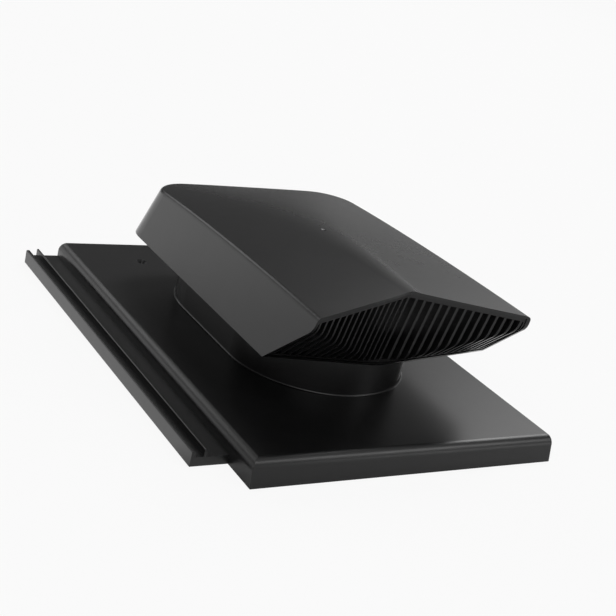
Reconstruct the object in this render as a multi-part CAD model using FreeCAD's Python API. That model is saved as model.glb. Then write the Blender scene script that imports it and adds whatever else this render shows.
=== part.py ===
import FreeCAD, Part
import math
import os

from FreeCAD import Vector

# Roof tile vent: a flat interlocking tile with an oval upstand, a gabled hood over it and a slatted grille in the
# hood's mouth. Three mouldings, nothing moves.
# Frame, in millimetres: the origin is on the throat's axis, in the plane of the tile's underside. +X runs across the
# slope to the right, +Y up the slope and +Z out of the roof. The mouth faces -Y.

# Tile panel
panel_width = 293.0
panel_length = 420.0
panel_height = 21.0
throat_to_front = 220.0
tile_wall = 3.0
front_lean = 4.0
roll_radius = 8.0
right_edge_radius = 2.5

# Side lock on the left, and the cover edge on the right that laps the next tile's lock
lock_width = 32.0
lock_setback = 36.0
lock_floor = 7.5
outer_rib_height = 12.5
outer_rib_width = 3.5
inner_rib_height = 14.0
inner_rib_width = 2.2
inner_rib_from_edge = 11.5
rib_round = 0.9
side_gap = 2.0
lap_clearance = 1.0

# Stiffening ribs under the panel
stiffener_width = 2.0
stiffener_foot = 6.0
stiffener_spacing = 62.0

# Nail holes near the head of the tile
nail_spacing = 155.0
nail_from_head = 44.0
nail_hole_diameter = 5.0
nail_sink_diameter = 11.0
nail_sink_depth = 3.0
nail_boss_diameter = 15.0

# Collar: the oval upstand round the throat, with a shoulder that carries the hood
collar_radius = 82.0
collar_straight = 96.0
collar_root_radius = 1.6
shoulder_width = 2.5
shoulder_depth = 8.0
spigot_top = 78.0
hood_fit = 0.3

# Hood walls and floor
hood_wall = 3.0
foot_half_width = 110.3
foot_height = 66.3
hood_rear = 143.0
rear_corner_foot = 38.5
rear_corner_top = 34.0
side_splay = 7.6
rear_splay = 26.2
keel_drop = 10.3

# Hood top: two gently arched roof faces that meet in a ridge, which softens towards the rear
crest_y = -135.0
ridge_height = 130.8
ridge_radius = 2230.0
eave_half_width = 102.0
eave_height = 122.5
eave_radius = 3800.0
ridge_round_front = 3.0
ridge_round_rear = 62.0
eave_round = 4.0
gate_mark_y = -23.0
gate_mark_radius = 2.4
gate_mark_depth = 0.7

# Mouth: a swept-back V of two leaning faces, which turn under at a fold
apex_y = -161.0
mouth_lean = 13.4
mouth_sweep = 17.6
bend_half_width = 104.5
bend_height = 110.8
foot_front = -141.0
bend_round = 14.0

# Grille
grille_fit = 0.2
grille_recess = 1.0
grille_frame = 3.2
grille_side = 1.2
slat_pitch = 6.95
slat_width = 2.0
slat_depth = 13.0
stop_height = 1.5
stop_length = 2.5

# Room beyond the object, for tools that cut right through
reach = 320.0

# Distance within which two points count as one
same_place = 0.01

# Share of the way to the corner at which a cubic curve's inner poles make it a quarter circle
round_share = 0.5523

panel_left = -panel_width / 2
panel_right = panel_width / 2
panel_front = -throat_to_front
panel_back = panel_length - throat_to_front
lock_left = panel_left - lock_width
lock_front = panel_front + lock_setback
cover_width = panel_width + side_gap
spigot_radius = collar_radius - shoulder_width
keel_height = foot_height - keel_drop
roof_front = apex_y - foot_half_width
roof_rear = hood_rear + rear_corner_foot


def box(x, y, z):
    """A block between the low and high values given for each axis."""
    return Part.makeBox(x[1] - x[0], y[1] - y[0], z[1] - z[0], Vector(x[0], y[0], z[0]))


def edges_where(shape, test):
    """The edges whose middle point passes the test."""
    chosen = []
    for edge in shape.Edges:
        middle = edge.valueAt((edge.FirstParameter + edge.LastParameter) / 2)
        if test(middle):
            chosen.append(edge)
    return chosen


def near(a, b):
    return abs(a - b) < same_place


def stadium(radius, low, high):
    """An oval prism round the throat's axis."""
    half = collar_straight / 2
    right = Part.LineSegment(Vector(radius, -half, low), Vector(radius, half, low))
    back = Part.Arc(Vector(radius, half, low), Vector(0, half + radius, low), Vector(-radius, half, low))
    left = Part.LineSegment(Vector(-radius, half, low), Vector(-radius, -half, low))
    front = Part.Arc(Vector(-radius, -half, low), Vector(0, -half - radius, low), Vector(radius, -half, low))
    wire = Part.Wire([curve.toShape() for curve in (right, back, left, front)])
    return Part.Face(wire).extrude(Vector(0, 0, high - low))


def quarter_turn(start, corner, end):
    """A quarter circle from start to end, as one cubic curve whose tangents meet in the corner."""
    curve = Part.BezierCurve()
    curve.setPoles([start, start + (corner - start) * round_share, end + (corner - end) * round_share, end])
    return curve


# Tile


def panel_block(inset):
    """The raised panel, or the space inside it when inset by the wall."""
    left = panel_left + inset
    foot_y = panel_front + inset
    top_y = foot_y + front_lean
    back_y = panel_back - inset
    top_z = panel_height - inset
    side = Part.makePolygon([
        Vector(left, foot_y, -inset),
        Vector(left, top_y, top_z),
        Vector(left, back_y, top_z),
        Vector(left, back_y, -inset),
        Vector(left, foot_y, -inset),
    ])
    block = Part.Face(side).extrude(Vector(panel_width - 2 * inset, 0, 0))

    def rolled(point):
        on_left = near(point.x, left) and near(point.z, top_z)
        on_front = near(point.y, top_y) and near(point.z, top_z)
        return on_left or on_front

    return block.makeFillet(roll_radius - inset, edges_where(block, rolled))


def lock_rib(left, width, height):
    """An upstand along the side lock, with a rounded top."""
    rib = box((left, left + width), (lock_front, panel_back), (0, height))
    tops = edges_where(rib, lambda point: near(point.z, height) and not near(point.x, left + width / 2))
    return rib.makeFillet(rib_round, tops)


def side_lock():
    """The strip that the next tile on the left laps over: a water channel between two upstands."""
    into_panel = panel_left + tile_wall / 2
    strip = box((lock_left, into_panel), (lock_front, panel_back), (0, lock_floor))
    outer = lock_rib(lock_left, outer_rib_width, outer_rib_height)
    inner = lock_rib(lock_left + inner_rib_from_edge - inner_rib_width / 2, inner_rib_width, inner_rib_height)
    hollow = box(
        (lock_left + tile_wall, panel_left),
        (lock_front + tile_wall, panel_back - tile_wall),
        (-tile_wall, lock_floor - tile_wall),
    )
    return strip.fuse([outer, inner]).cut(hollow)


def cover_edge_tools():
    """What the right edge leaves free for the next tile's side lock, and the tongue that hangs into its channel."""
    next_lock = lock_left + cover_width
    flap_left = next_lock - lap_clearance
    inside_right = panel_right - tile_wall
    top = panel_height - tile_wall
    behind_lip = lock_front - lap_clearance
    pocket = box((flap_left, inside_right), (panel_front + tile_wall + front_lean, reach), (-tile_wall, top))
    lip_trim = box((flap_left, reach), (behind_lip, reach), (-tile_wall, lock_floor + lap_clearance))
    inner_rib_left = inner_rib_from_edge - inner_rib_width / 2
    tongue_middle = next_lock + (outer_rib_width + inner_rib_left) / 2
    tongue = box(
        (tongue_middle - stiffener_width / 2, tongue_middle + stiffener_width / 2),
        (lock_front, panel_back),
        (lock_floor + 2 * lap_clearance, top + tile_wall / 2),
    )
    return flap_left, pocket, lip_trim, tongue


def stiffeners(right):
    """Ribs under the panel: long ones up the slope and one across at each end of the throat."""
    z = (stiffener_foot, panel_height - tile_wall / 2)
    y = (panel_front, panel_back)
    half = stiffener_width / 2
    ribs = []
    for place in (-1, 0, 1):
        middle = place * stiffener_spacing
        ribs.append(box((middle - half, middle + half), y, z))
    for end in (panel_front + lock_setback, panel_back - nail_from_head):
        ribs.append(box((panel_left, right), (end - half, end + half), z))
    within = panel_block(tile_wall / 2)
    return [rib.common(within) for rib in ribs]


def nail_places():
    y = panel_back - nail_from_head
    return [Vector(-nail_spacing / 2, y, 0), Vector(nail_spacing / 2, y, 0)]


def nail_boss(place):
    return Part.makeCylinder(nail_boss_diameter / 2, panel_height - tile_wall / 2, place)


def nail_hole(place):
    hole = Part.makeCylinder(nail_hole_diameter / 2, 2 * panel_height, place - Vector(0, 0, tile_wall))
    sink_foot = place + Vector(0, 0, panel_height - nail_sink_depth)
    sink = Part.makeCone(nail_hole_diameter / 2, nail_sink_diameter / 2, nail_sink_depth, sink_foot)
    return hole.fuse(sink)


def collar():
    """The upstand, stepped in at the top so that the hood's floor sits on a shoulder."""
    wall = stadium(collar_radius, 0, foot_height).cut(above_floor(0))
    spigot = stadium(spigot_radius, keel_height - shoulder_depth, spigot_top)
    return wall.fuse(spigot)


def throat():
    """The air's way up, narrower inside the spigot."""
    wide = stadium(collar_radius - tile_wall, -tile_wall, keel_height - shoulder_depth)
    narrow = stadium(spigot_radius - tile_wall, -tile_wall, spigot_top + tile_wall)
    return wide.fuse(narrow)


def make_base_tile():
    flap_left, pocket, lip_trim, tongue = cover_edge_tools()
    support_left = flap_left - tile_wall
    hollow = panel_block(tile_wall).common(box((-reach, support_left), (-reach, reach), (-reach, reach)))
    outer = panel_block(0)
    right_top = edges_where(outer, lambda point: near(point.x, panel_right) and near(point.z, panel_height))
    tile = outer.makeFillet(right_edge_radius, right_top)
    tile = tile.cut([hollow, pocket, lip_trim])
    bosses = [nail_boss(place) for place in nail_places()]
    tile = tile.fuse([side_lock(), tongue, collar()] + stiffeners(support_left + tile_wall / 2) + bosses)
    tile = tile.removeSplitter()

    def at_root(point):
        beside = abs(point.x) < collar_radius + tile_wall
        along = abs(point.y) < collar_radius + collar_straight / 2 + tile_wall
        return beside and along and near(point.z, panel_height)

    tile = tile.makeFillet(collar_root_radius, edges_where(tile, at_root))
    return tile.cut([throat()] + [nail_hole(place) for place in nail_places()])


# Hood


def wall_block(inset):
    """The space inside the splayed side and rear walls, open in front."""
    side = math.radians(side_splay)
    back = math.radians(rear_splay)
    corner_taper = (rear_corner_foot - rear_corner_top) / (eave_height - foot_height)

    def outline(z):
        rise = z - foot_height
        half = foot_half_width - rise * math.tan(side) - inset / math.cos(side)
        rear = hood_rear - rise * math.tan(back) - inset / math.cos(back)
        radius = rear_corner_foot - rise * corner_taper - inset
        front = -reach
        right_end = Vector(half, rear - radius, z)
        rear_right = Vector(half - radius, rear, z)
        rear_left = Vector(radius - half, rear, z)
        left_end = Vector(-half, rear - radius, z)
        parts = [
            Part.LineSegment(Vector(-half, front, z), Vector(half, front, z)),
            Part.LineSegment(Vector(half, front, z), right_end),
            quarter_turn(right_end, Vector(half, rear, z), rear_right),
            Part.LineSegment(rear_right, rear_left),
            quarter_turn(left_end, Vector(-half, rear, z), rear_left),
            Part.LineSegment(left_end, Vector(-half, front, z)),
        ]
        return Part.Wire([part.toShape() for part in parts])

    low = keel_height - foot_height / 4
    high = ridge_height + foot_height / 4
    return Part.makeLoft([outline(low), outline(high)], True, True)


def ridge_at(y):
    return ridge_height - (y - crest_y) ** 2 / (2 * ridge_radius)


def eave_at(y):
    return eave_height - (y - crest_y) ** 2 / (2 * eave_radius)


def roof_section(y, ridge_round, inset):
    """The roof's outline across the slope: two straight flanks, with a round of twice this half width between them."""
    rise = ridge_at(y) - eave_at(y)
    slope = rise / (eave_half_width - ridge_round / 2)
    peak_z = ridge_at(y) - inset + slope * ridge_round / 2
    side = eave_half_width + foot_half_width / 2

    def on_flank(x):
        return Vector(x, y, peak_z - slope * abs(x))

    if ridge_round > 0:
        roof = Part.BSplineCurve()
        poles = [on_flank(x) for x in (-side, -2 * ridge_round, 0, 2 * ridge_round, side)]
        roof.buildFromPolesMultsKnots(poles, [3, 1, 1, 3], [0, 1, 2, 3], False, 2)
        top = [roof]
    else:
        top = [Part.LineSegment(on_flank(-side), on_flank(0)), Part.LineSegment(on_flank(0), on_flank(side))]
    left_foot = Vector(-side, y, 0)
    right_foot = Vector(side, y, 0)
    parts = top + [
        Part.LineSegment(on_flank(side), right_foot),
        Part.LineSegment(right_foot, left_foot),
        Part.LineSegment(left_foot, on_flank(-side)),
    ]
    return Part.Wire([part.toShape() for part in parts])


def roof_block(inset):
    """The space under the roof, lowered by the inset. The ridge is rounded on the outside only."""
    rounds = [0, 0, 0]
    if inset == 0:
        middle_round = ridge_round_front + (ridge_round_rear - ridge_round_front) / 4
        rounds = [ridge_round_front, middle_round, ridge_round_rear]
    places = [roof_front, (roof_front + roof_rear) / 2, roof_rear]
    stations = [roof_section(y, ridge_round, inset) for y, ridge_round in zip(places, rounds)]
    return Part.makeLoft(stations, True, False)


def above_floor(inset):
    """Everything above the hood's V-shaped floor, raised by the inset."""
    side = reach
    side_z = keel_height + keel_drop * side / foot_half_width + inset
    keel = keel_height + inset
    top = ridge_height + reach
    outline = Part.makePolygon([
        Vector(0, -reach, keel),
        Vector(side, -reach, side_z),
        Vector(side, -reach, top),
        Vector(-side, -reach, top),
        Vector(-side, -reach, side_z),
        Vector(0, -reach, keel),
    ])
    return Part.Face(outline).extrude(Vector(0, 2 * reach, 0))


def hood_body(side_inset, end_inset):
    """The hood's closed form before its mouth is cut, drawn in from the walls and from the roof and floor."""
    return wall_block(side_inset).common(roof_block(end_inset)).common(above_floor(end_inset))


def mouth_face_y(x, z):
    """How far forward the mouth's upper face lies at a point across and up."""
    lean = math.tan(math.radians(mouth_lean))
    sweep = math.tan(math.radians(mouth_sweep))
    return apex_y + lean * (ridge_height - z) - sweep * abs(x)


def half_behind_mouth(setback):
    """The space behind the right half of the mouth: behind its upper face and above its lower one."""

    def upper(x, z):
        return Vector(x, mouth_face_y(x, z), z)

    fold_centre = upper(0, keel_height)
    fold_side = upper(bend_half_width, bend_height)
    foot_corner = Vector(foot_half_width, foot_front, foot_height)
    along = (fold_side - fold_centre).normalize() * 2 * reach
    rise = (upper(0, ridge_height) - fold_centre).normalize() * 2 * reach
    under = (foot_corner - fold_side).normalize() * 2 * reach
    start = fold_centre - along / 2
    outline = Part.makePolygon([start, start + rise, start + rise + under, start + under, start])
    wedge = Part.Face(outline).extrude(along)

    def on_fold(point):
        return (point - fold_centre).Length < same_place

    wedge = wedge.makeFillet(bend_round, edges_where(wedge, on_fold))
    wedge.translate(Vector(0, setback, 0))
    return wedge.common(box((0, reach), (-reach, reach), (-reach, reach)))


def behind_mouth(setback):
    """The space behind the whole mouth."""
    right = half_behind_mouth(setback)
    left = right.mirror(Vector(0, 0, 0), Vector(1, 0, 0))
    return right.fuse(left)


def make_hood():
    """The hood: a shell with rounded eaves, an open mouth, an oval hole in its floor and a stop for the grille."""
    body = hood_body(0, 0)

    def on_eaves(point):
        at_top = point.z > (foot_height + 3 * eave_height) / 4
        outside = abs(point.x) > eave_half_width / 2 or point.y > hood_rear / 2
        return at_top and outside and not near(point.y, roof_front)

    body = body.makeFillet(eave_round, edges_where(body, on_eaves))
    stop_front = grille_recess + slat_depth
    stop = behind_mouth(stop_front).cut(behind_mouth(stop_front + stop_length))
    stop_inset = hood_wall + stop_height
    stop = stop.cut(hood_body(stop_inset, stop_inset))
    cavity = hood_body(hood_wall, hood_wall).cut(stop)
    opening = stadium(spigot_radius + hood_fit, 0, spigot_top)
    return body.common(behind_mouth(0)).cut([cavity, opening, gate_mark()])


def gate_mark():
    """The shallow round dimple that the moulding gate leaves on the ridge."""
    ball_radius = (gate_mark_radius ** 2 + gate_mark_depth ** 2) / (2 * gate_mark_depth)
    surface = ridge_at(gate_mark_y)
    return Part.makeSphere(ball_radius, Vector(0, gate_mark_y, surface + ball_radius - gate_mark_depth))


def make_front_grille():
    """The grille: a frame that follows the mouth, and a row of slats across its window."""
    fit = hood_wall + grille_fit
    back = grille_recess + slat_depth
    band = hood_body(fit, fit).common(behind_mouth(grille_recess)).cut(behind_mouth(back))
    window = hood_body(fit + grille_side, fit + grille_frame)
    slats_each_side = math.floor((foot_half_width - fit - grille_side) / slat_pitch)
    slats = []
    for place in range(-slats_each_side, slats_each_side + 1):
        middle = place * slat_pitch
        slats.append(box((middle - slat_width / 2, middle + slat_width / 2), (-reach, reach), (0, 2 * reach)))
    return band.cut(window.cut(slats))


def save(name, shape):
    shape = shape.removeSplitter()
    print(name, len(shape.Solids), "solid", shape.isValid(), round(shape.Volume / 1000, 1), "cm3")
    shape.exportStep("parts/" + name + ".step")


os.makedirs("parts", exist_ok=True)
save("base_tile", make_base_tile())
save("hood", make_hood())
save("front_grille", make_front_grille())
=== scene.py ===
"""Looks of the roof tile vent: satin black mouldings on a pale studio floor, from the photograph's place."""
import math

import bpy
from mathutils import Matrix, Vector


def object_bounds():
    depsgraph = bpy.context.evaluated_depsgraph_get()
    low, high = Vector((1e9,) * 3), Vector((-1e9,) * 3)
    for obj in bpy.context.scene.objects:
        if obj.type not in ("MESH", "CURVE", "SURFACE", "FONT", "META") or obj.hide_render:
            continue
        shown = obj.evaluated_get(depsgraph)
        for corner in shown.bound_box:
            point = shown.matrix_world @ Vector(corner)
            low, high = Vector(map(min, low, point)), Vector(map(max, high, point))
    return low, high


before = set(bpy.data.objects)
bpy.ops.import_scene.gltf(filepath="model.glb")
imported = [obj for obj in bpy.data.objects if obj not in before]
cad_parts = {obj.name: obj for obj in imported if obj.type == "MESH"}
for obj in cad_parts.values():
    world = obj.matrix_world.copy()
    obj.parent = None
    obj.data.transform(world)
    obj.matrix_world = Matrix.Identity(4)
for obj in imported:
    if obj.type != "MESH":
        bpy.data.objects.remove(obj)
cad_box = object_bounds()

# Camera, solved from the photograph. Angles in degrees, lengths in metres unless said otherwise.
camera_place = (-0.581, -0.8557, 0.4359)
camera_heading = 35.07
camera_dip = 20.63
camera_roll = 13.77
camera_lens_mm = 71.11
camera_sensor_mm = 36.0
camera_near = 0.01
camera_far = 100.0

# Plastics: the colour and the gloss of each piece.
tile_colour = (0.004, 0.004, 0.0042)
hood_colour = (0.005, 0.005, 0.0052)
grille_colour = (0.003, 0.003, 0.0032)
tile_roughness = 0.33
hood_roughness = 0.31
grille_roughness = 0.45
plastic_ior = 1.6

# Gloss at a grazing look: it starts to rise at this share of the way to edge-on, and ends at this roughness.
grazing_start = 0.72
grazing_roughness = 0.10

# Clouds in the colour and in the gloss, and the fine grain of the mould.
cloud_size = 0.045
cloud_detail = 3.0
cloud_darkest = 0.85
cloud_lightest = 1.15
gloss_cloud_size = 0.015
gloss_cloud_detail = 4.0
gloss_change = 0.012
noise_range = (0.3, 0.7)
grain_size = 0.0007
grain_detail = 2.0
grain_depth = 0.00003
grain_strength = 0.25

# Studio floor. Its glow is the share of plain white in what it shows, and is even to the eye. In reflections
# the glow is painted light, a painted reflection of lit floor: it rises from the first to the second place
# of a pair, along Y to the rear, and along X up to the tile's left edge. The rise on the left is held back
# from the front by a rise of its own along Y.
floor_size = 40.0
floor_colour = (0.70, 0.70, 0.70)
floor_glow_seen = 0.90
floor_painted_glow_rear = (0.12, 0.50)
floor_painted_glow_left = (-0.27, -0.20)
floor_painted_glow_front = (-0.20, -0.15)

# Studio room, and how its softboxes are set up: they fade from core to rim, as shares of their width.
horizon_light = 0.165
zenith_light = 0.02
lamp_aim = (0.0, 0.0, 0.06)
softbox_distance = 6.0
softbox_middle = (0.5, 0.5, 0.0)
softbox_core = 0.28
softbox_rim = 0.50

# A softbox is (name, heading, height, width, length, brightness). Width and length are the angles that the
# object sees at half brightness, and a brightness of 1 is white.
softboxes = [
    ("key", 100.0, 62.0, 60.0, 40.0, 0.4),
    ("right_high", 55.0, 40.0, 22.0, 20.0, 4.6),
    ("right_sweep", 54.0, 25.0, 20.0, 16.0, 0.8),
    ("right_tip", 57.0, 13.0, 14.0, 10.0, 0.5),
    ("right_floor", 45.0, 4.0, 24.0, 8.0, 0.62),
    ("front_edge", 128.0, 40.0, 14.0, 26.0, 3.4),
    ("front_low", 142.0, 14.0, 14.0, 24.0, 1.4),
    ("front_right_floor", 134.0, 4.0, 14.0, 8.0, 2.0),
    ("rear_high", 36.0, 60.0, 28.0, 24.0, 3.0),
    ("rear_low", -30.0, 11.0, 30.0, 24.0, 1.0),
    ("left_edge", -10.0, 33.0, 36.0, 14.0, 1.8),
    ("fill", 215.0, 50.0, 60.0, 40.0, 2.4),
]


def heading_vector(heading, height):
    """Unit vector to a heading, clockwise from +Y seen from above, and a height over the floor."""
    around = math.radians(heading)
    up = math.radians(height)
    return Vector((math.sin(around) * math.cos(up), math.cos(around) * math.cos(up), math.sin(up)))


def new_nodes(holder):
    """Empty node tree of a material, a world or a lamp, as its nodes and links."""
    holder.use_nodes = True
    holder.node_tree.nodes.clear()
    return holder.node_tree.nodes, holder.node_tree.links


def noise(nodes, links, place, size, detail):
    """Noise with features about as large as size."""
    node = nodes.new("ShaderNodeTexNoise")
    node.inputs["Scale"].default_value = 1 / size
    node.inputs["Detail"].default_value = detail
    links.new(place, node.inputs["Vector"])
    return node.outputs["Fac"]


def ramp(nodes, links, value, start, end, low, high):
    """The value as a number that is low up to start, high from end on, and changes evenly between them."""
    node = nodes.new("ShaderNodeMapRange")
    node.inputs["From Min"].default_value = start
    node.inputs["From Max"].default_value = end
    node.inputs["To Min"].default_value = low
    node.inputs["To Max"].default_value = high
    links.new(value, node.inputs["Value"])
    return node.outputs["Result"]


def combine(nodes, links, operation, first, second):
    """One number made of two."""
    node = nodes.new("ShaderNodeMath")
    node.operation = operation
    links.new(first, node.inputs[0])
    links.new(second, node.inputs[1])
    return node.outputs["Value"]


def moulded_plastic(name, colour, roughness):
    """Satin plastic: slightly clouded colour and gloss, and the grain of the mould."""
    material = bpy.data.materials.new(name)
    nodes, links = new_nodes(material)
    output = nodes.new("ShaderNodeOutputMaterial")
    shader = nodes.new("ShaderNodeBsdfPrincipled")
    shader.inputs["IOR"].default_value = plastic_ior
    place = nodes.new("ShaderNodeTexCoord").outputs["Object"]

    cloud = noise(nodes, links, place, cloud_size, cloud_detail)
    tint = nodes.new("ShaderNodeMix")
    tint.data_type = "RGBA"
    tint.inputs["A"].default_value = (*(c * cloud_darkest for c in colour), 1.0)
    tint.inputs["B"].default_value = (*(c * cloud_lightest for c in colour), 1.0)
    links.new(ramp(nodes, links, cloud, *noise_range, 0.0, 1.0), tint.inputs["Factor"])
    links.new(tint.outputs["Result"], shader.inputs["Base Color"])

    gloss = noise(nodes, links, place, gloss_cloud_size, gloss_cloud_detail)
    facing = nodes.new("ShaderNodeLayerWeight").outputs["Facing"]
    sheen = nodes.new("ShaderNodeMapRange")
    sheen.inputs["From Min"].default_value = grazing_start
    sheen.inputs["To Max"].default_value = grazing_roughness
    links.new(facing, sheen.inputs["Value"])
    low = roughness - gloss_change
    high = roughness + gloss_change
    links.new(ramp(nodes, links, gloss, *noise_range, low, high), sheen.inputs["To Min"])
    links.new(sheen.outputs["Result"], shader.inputs["Roughness"])

    grain = nodes.new("ShaderNodeBump")
    grain.inputs["Strength"].default_value = grain_strength
    grain.inputs["Distance"].default_value = grain_depth
    links.new(noise(nodes, links, place, grain_size, grain_detail), grain.inputs["Height"])
    links.new(grain.outputs["Normal"], shader.inputs["Normal"])
    links.new(shader.outputs["BSDF"], output.inputs["Surface"])
    return material


def dress(node, material):
    """Give a CAD node its material in every slot."""
    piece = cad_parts[node]
    for slot in piece.material_slots:
        slot.material = material


def make_floor():
    """Pale floor under the tile: white to the eye, with a painted glow in parts of what reflections show,
    and a soft shadow on it.
    """
    half = floor_size / 2
    low = cad_box[0][2]
    mesh = bpy.data.meshes.new("floor")
    corners = [(-half, -half, low), (half, -half, low), (half, half, low), (-half, half, low)]
    mesh.from_pydata(corners, [], [(0, 1, 2, 3)])
    floor = bpy.data.objects.new("floor", mesh)
    bpy.context.scene.collection.objects.link(floor)

    material = bpy.data.materials.new("pale_floor")
    nodes, links = new_nodes(material)
    output = nodes.new("ShaderNodeOutputMaterial")
    matt = nodes.new("ShaderNodeBsdfDiffuse")
    matt.inputs["Color"].default_value = (*floor_colour, 1.0)
    white = nodes.new("ShaderNodeEmission")
    path = nodes.new("ShaderNodeLightPath")
    place = nodes.new("ShaderNodeSeparateXYZ")
    links.new(nodes.new("ShaderNodeTexCoord").outputs["Object"], place.inputs["Vector"])
    # Painted reflection: where these shares are high the floor glows white in reflections only, to the rear
    # and beside the tile's left edge.
    rear = ramp(nodes, links, place.outputs["Y"], *floor_painted_glow_rear, 0.0, 1.0)
    beside = ramp(nodes, links, place.outputs["X"], *floor_painted_glow_left, 0.0, 1.0)
    behind_front = ramp(nodes, links, place.outputs["Y"], *floor_painted_glow_front, 0.0, 1.0)
    left = combine(nodes, links, "MULTIPLY", beside, behind_front)
    mirrored = combine(nodes, links, "MAXIMUM", rear, left)
    mirrored = combine(nodes, links, "MULTIPLY", mirrored, path.outputs["Is Glossy Ray"])
    seen = ramp(nodes, links, path.outputs["Is Camera Ray"], 0.0, 1.0, 0.0, floor_glow_seen)
    share = combine(nodes, links, "MAXIMUM", seen, mirrored)
    mix = nodes.new("ShaderNodeMixShader")
    links.new(share, mix.inputs["Fac"])
    links.new(matt.outputs["BSDF"], mix.inputs[1])
    links.new(white.outputs["Emission"], mix.inputs[2])
    links.new(mix.outputs["Shader"], output.inputs["Surface"])
    mesh.materials.append(material)


def make_world():
    """Grey studio, brighter at the horizon than overhead. It shows white to the eye, as the floor does."""
    world = bpy.data.worlds.new("studio")
    bpy.context.scene.world = world
    nodes, links = new_nodes(world)
    output = nodes.new("ShaderNodeOutputWorld")
    light = nodes.new("ShaderNodeBackground")
    direction = nodes.new("ShaderNodeSeparateXYZ")
    links.new(nodes.new("ShaderNodeTexCoord").outputs["Generated"], direction.inputs["Vector"])
    level = ramp(nodes, links, direction.outputs["Z"], 0.0, 1.0, horizon_light, zenith_light)
    seen = nodes.new("ShaderNodeLightPath").outputs["Is Camera Ray"]
    links.new(combine(nodes, links, "MAXIMUM", level, seen), light.inputs["Color"])
    links.new(light.outputs["Background"], output.inputs["Surface"])


def fade_softbox(data):
    """Light of a softbox: full in its core, none at its rim."""
    nodes, links = new_nodes(data)
    output = nodes.new("ShaderNodeOutputLight")
    light = nodes.new("ShaderNodeEmission")
    reach = nodes.new("ShaderNodeVectorMath")
    reach.operation = "DISTANCE"
    reach.inputs[1].default_value = softbox_middle
    links.new(nodes.new("ShaderNodeNewGeometry").outputs["Parametric"], reach.inputs[0])
    fade = nodes.new("ShaderNodeMapRange")
    fade.interpolation_type = "SMOOTHSTEP"
    fade.inputs["From Min"].default_value = softbox_core
    fade.inputs["From Max"].default_value = softbox_rim
    fade.inputs["To Min"].default_value = 1.0
    fade.inputs["To Max"].default_value = 0.0
    links.new(reach.outputs["Value"], fade.inputs["Value"])
    links.new(fade.outputs["Result"], light.inputs["Strength"])
    links.new(light.outputs["Emission"], output.inputs["Surface"])


def softbox_side(angle):
    """Side of a softbox that the object sees under an angle at half brightness."""
    half_bright = softbox_core + softbox_rim
    return 2 * softbox_distance * math.tan(math.radians(angle / 2)) / half_bright


def make_softbox(name, heading, height, width, length, brightness):
    """Soft rectangular lamp that faces the hood, unseen by the camera itself."""
    direction = heading_vector(heading, height)
    data = bpy.data.lights.new(name, "AREA")
    data.shape = "RECTANGLE"
    data.size = softbox_side(width)
    data.size_y = softbox_side(length)
    data.energy = brightness * math.pi * data.size * data.size_y
    fade_softbox(data)
    lamp = bpy.data.objects.new(name, data)
    lamp.location = Vector(lamp_aim) + direction * softbox_distance
    lamp.rotation_euler = direction.to_track_quat("Z", "Y").to_euler()
    lamp.visible_camera = False
    bpy.context.scene.collection.objects.link(lamp)


def make_camera():
    """Camera at the photograph's place, turned about its own axis as the photograph is."""
    forward = heading_vector(camera_heading, -camera_dip)
    level_right = heading_vector(camera_heading + 90, 0.0)
    level_up = level_right.cross(forward)
    roll = math.radians(camera_roll)
    right = level_right * math.cos(roll) + level_up * math.sin(roll)
    up = level_up * math.cos(roll) - level_right * math.sin(roll)
    data = bpy.data.cameras.new("camera")
    data.lens = camera_lens_mm
    data.sensor_width = camera_sensor_mm
    data.clip_start = camera_near
    data.clip_end = camera_far
    camera = bpy.data.objects.new("camera", data)
    turn = Matrix((right, up, -forward)).transposed().to_4x4()
    camera.matrix_world = Matrix.Translation(camera_place) @ turn
    bpy.context.scene.collection.objects.link(camera)
    bpy.context.scene.camera = camera


dress("base_tile", moulded_plastic("tile_plastic", tile_colour, tile_roughness))
dress("hood", moulded_plastic("hood_plastic", hood_colour, hood_roughness))
dress("front_grille", moulded_plastic("grille_plastic", grille_colour, grille_roughness))
make_floor()
make_world()
for softbox in softboxes:
    make_softbox(*softbox)
make_camera()
bpy.context.scene.view_settings.view_transform = "Standard"
